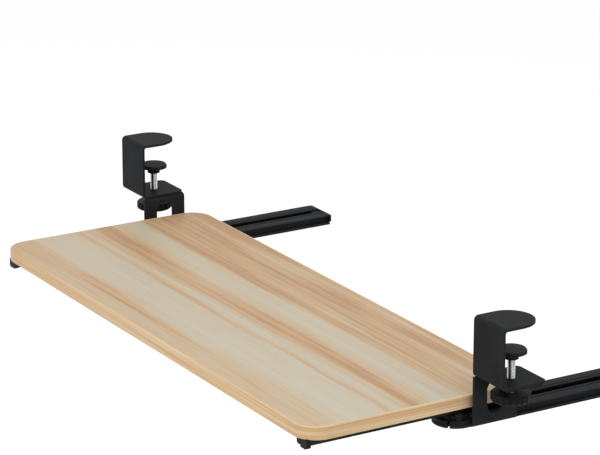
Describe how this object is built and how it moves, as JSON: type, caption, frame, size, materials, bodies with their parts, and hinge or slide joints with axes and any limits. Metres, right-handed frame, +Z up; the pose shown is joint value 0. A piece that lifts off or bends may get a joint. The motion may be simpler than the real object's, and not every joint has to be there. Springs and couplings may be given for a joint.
{
  "type": "sliding keyboard tray",
  "caption": "Flat wood board that slides out on tracks hung below screw clamps, to hold a keyboard and mouse under the edge of a table top.",
  "frame": {"origin": "on the top front edge of the gripped table top, midway between the two clamps", "axes": "+X to the user's right along the table edge, +Y back under the table top, +Z up"},
  "size_m": [0.766, 0.402, 0.116],
  "materials": {
    "wood_laminate": "satin wood-grain laminate",
    "edge_band": "satin wood-grain edge band",
    "black_steel": "black powder coat",
    "bright_steel": "bright zinc plate",
    "black_nylon": "moulded black",
    "pale_nylon": "moulded natural",
    "rubber_sheet": "matt black rubber"
  },
  "bodies": {
    "mount_frame": {"left_clamp_frame": "black_steel", "right_clamp_frame": "black_steel", "left_jaw_rubber": "rubber_sheet", "right_jaw_rubber": "rubber_sheet", "left_hanger": "black_steel", "right_hanger": "black_steel", "left_clamp_nut": "bright_steel", "right_clamp_nut": "bright_steel", "left_track": "black_steel", "right_track": "black_steel", "left_front_guide": "black_nylon", "right_front_guide": "black_nylon", "left_front_pin": "bright_steel", "right_front_pin": "bright_steel", "left_back_plug": "black_nylon", "right_back_plug": "black_nylon", "guide_screws": "black_steel", "track_rivets": "black_steel"},
    "tray": {"tray_board": "wood_laminate", "edge_band": "edge_band", "left_runner": "black_steel", "right_runner": "black_steel", "left_front_cap": "black_nylon", "right_front_cap": "black_nylon", "left_trolley": "black_nylon", "right_trolley": "black_nylon", "left_trolley_pin": "bright_steel", "right_trolley_pin": "bright_steel", "runner_screws": "bright_steel", "trolley_screws": "bright_steel"},
    "left_front_wheel": {"left_front_roller": "pale_nylon"},
    "left_back_wheels": {"left_trolley_rollers": "pale_nylon"},
    "left_pad": {"left_pressure_disc": "black_steel", "left_disc_rubber": "rubber_sheet"},
    "left_screw": {"left_clamp_screw": "bright_steel", "left_knob": "black_nylon"},
    "right_front_wheel": {"right_front_roller": "pale_nylon"},
    "right_back_wheels": {"right_trolley_rollers": "pale_nylon"},
    "right_pad": {"right_pressure_disc": "black_steel", "right_disc_rubber": "rubber_sheet"},
    "right_screw": {"right_clamp_screw": "bright_steel", "right_knob": "black_nylon"}
  },
  "joints": [
    {"name": "tray_slide", "type": "slide", "parent": "mount_frame", "child": "tray", "axis": [0, 1, 0], "range_m": [0, 0.146]},
    {"name": "left_front_roll", "type": "hinge", "parent": "mount_frame", "child": "left_front_wheel", "pos_m": [-0.3085, -0.0155, -0.1012], "axis": [1, 0, 0], "range_deg": [-1525, 0]},
    {"name": "left_back_roll", "type": "hinge", "parent": "tray", "child": "left_back_wheels", "pos_m": [-0.3085, 0.0485, -0.10475], "axis": [1, 0, 0], "range_deg": [0, 3285]},
    {"name": "left_pad_lift", "type": "slide", "parent": "mount_frame", "child": "left_pad", "axis": [0, 0, 1], "range_m": [-0.017, 0.005]},
    {"name": "left_knob_turn", "type": "hinge", "parent": "left_pad", "child": "left_screw", "pos_m": [-0.358, 0.0245, -0.071], "axis": [0, 0, 1], "range_deg": [-4900, 1445]},
    {"name": "right_front_roll", "type": "hinge", "parent": "mount_frame", "child": "right_front_wheel", "pos_m": [0.3085, -0.0155, -0.1012], "axis": [1, 0, 0], "range_deg": [-1525, 0]},
    {"name": "right_back_roll", "type": "hinge", "parent": "tray", "child": "right_back_wheels", "pos_m": [0.3085, 0.0485, -0.10475], "axis": [1, 0, 0], "range_deg": [0, 3285]},
    {"name": "right_pad_lift", "type": "slide", "parent": "mount_frame", "child": "right_pad", "axis": [0, 0, 1], "range_m": [-0.017, 0.005]},
    {"name": "right_knob_turn", "type": "hinge", "parent": "right_pad", "child": "right_screw", "pos_m": [0.358, 0.0245, -0.071], "axis": [0, 0, 1], "range_deg": [-4900, 1445]}
  ],
  "couplings": [
    {"joint": "left_front_roll", "follows": "tray_slide", "rad_per_m": -181.82},
    {"joint": "left_back_roll", "follows": "tray_slide", "rad_per_m": 392.16},
    {"joint": "left_knob_turn", "follows": "left_pad_lift", "rad_per_m": 5026.5},
    {"joint": "right_front_roll", "follows": "tray_slide", "rad_per_m": -181.82},
    {"joint": "right_back_roll", "follows": "tray_slide", "rad_per_m": 392.16},
    {"joint": "right_knob_turn", "follows": "right_pad_lift", "rad_per_m": 5026.5}
  ]
}
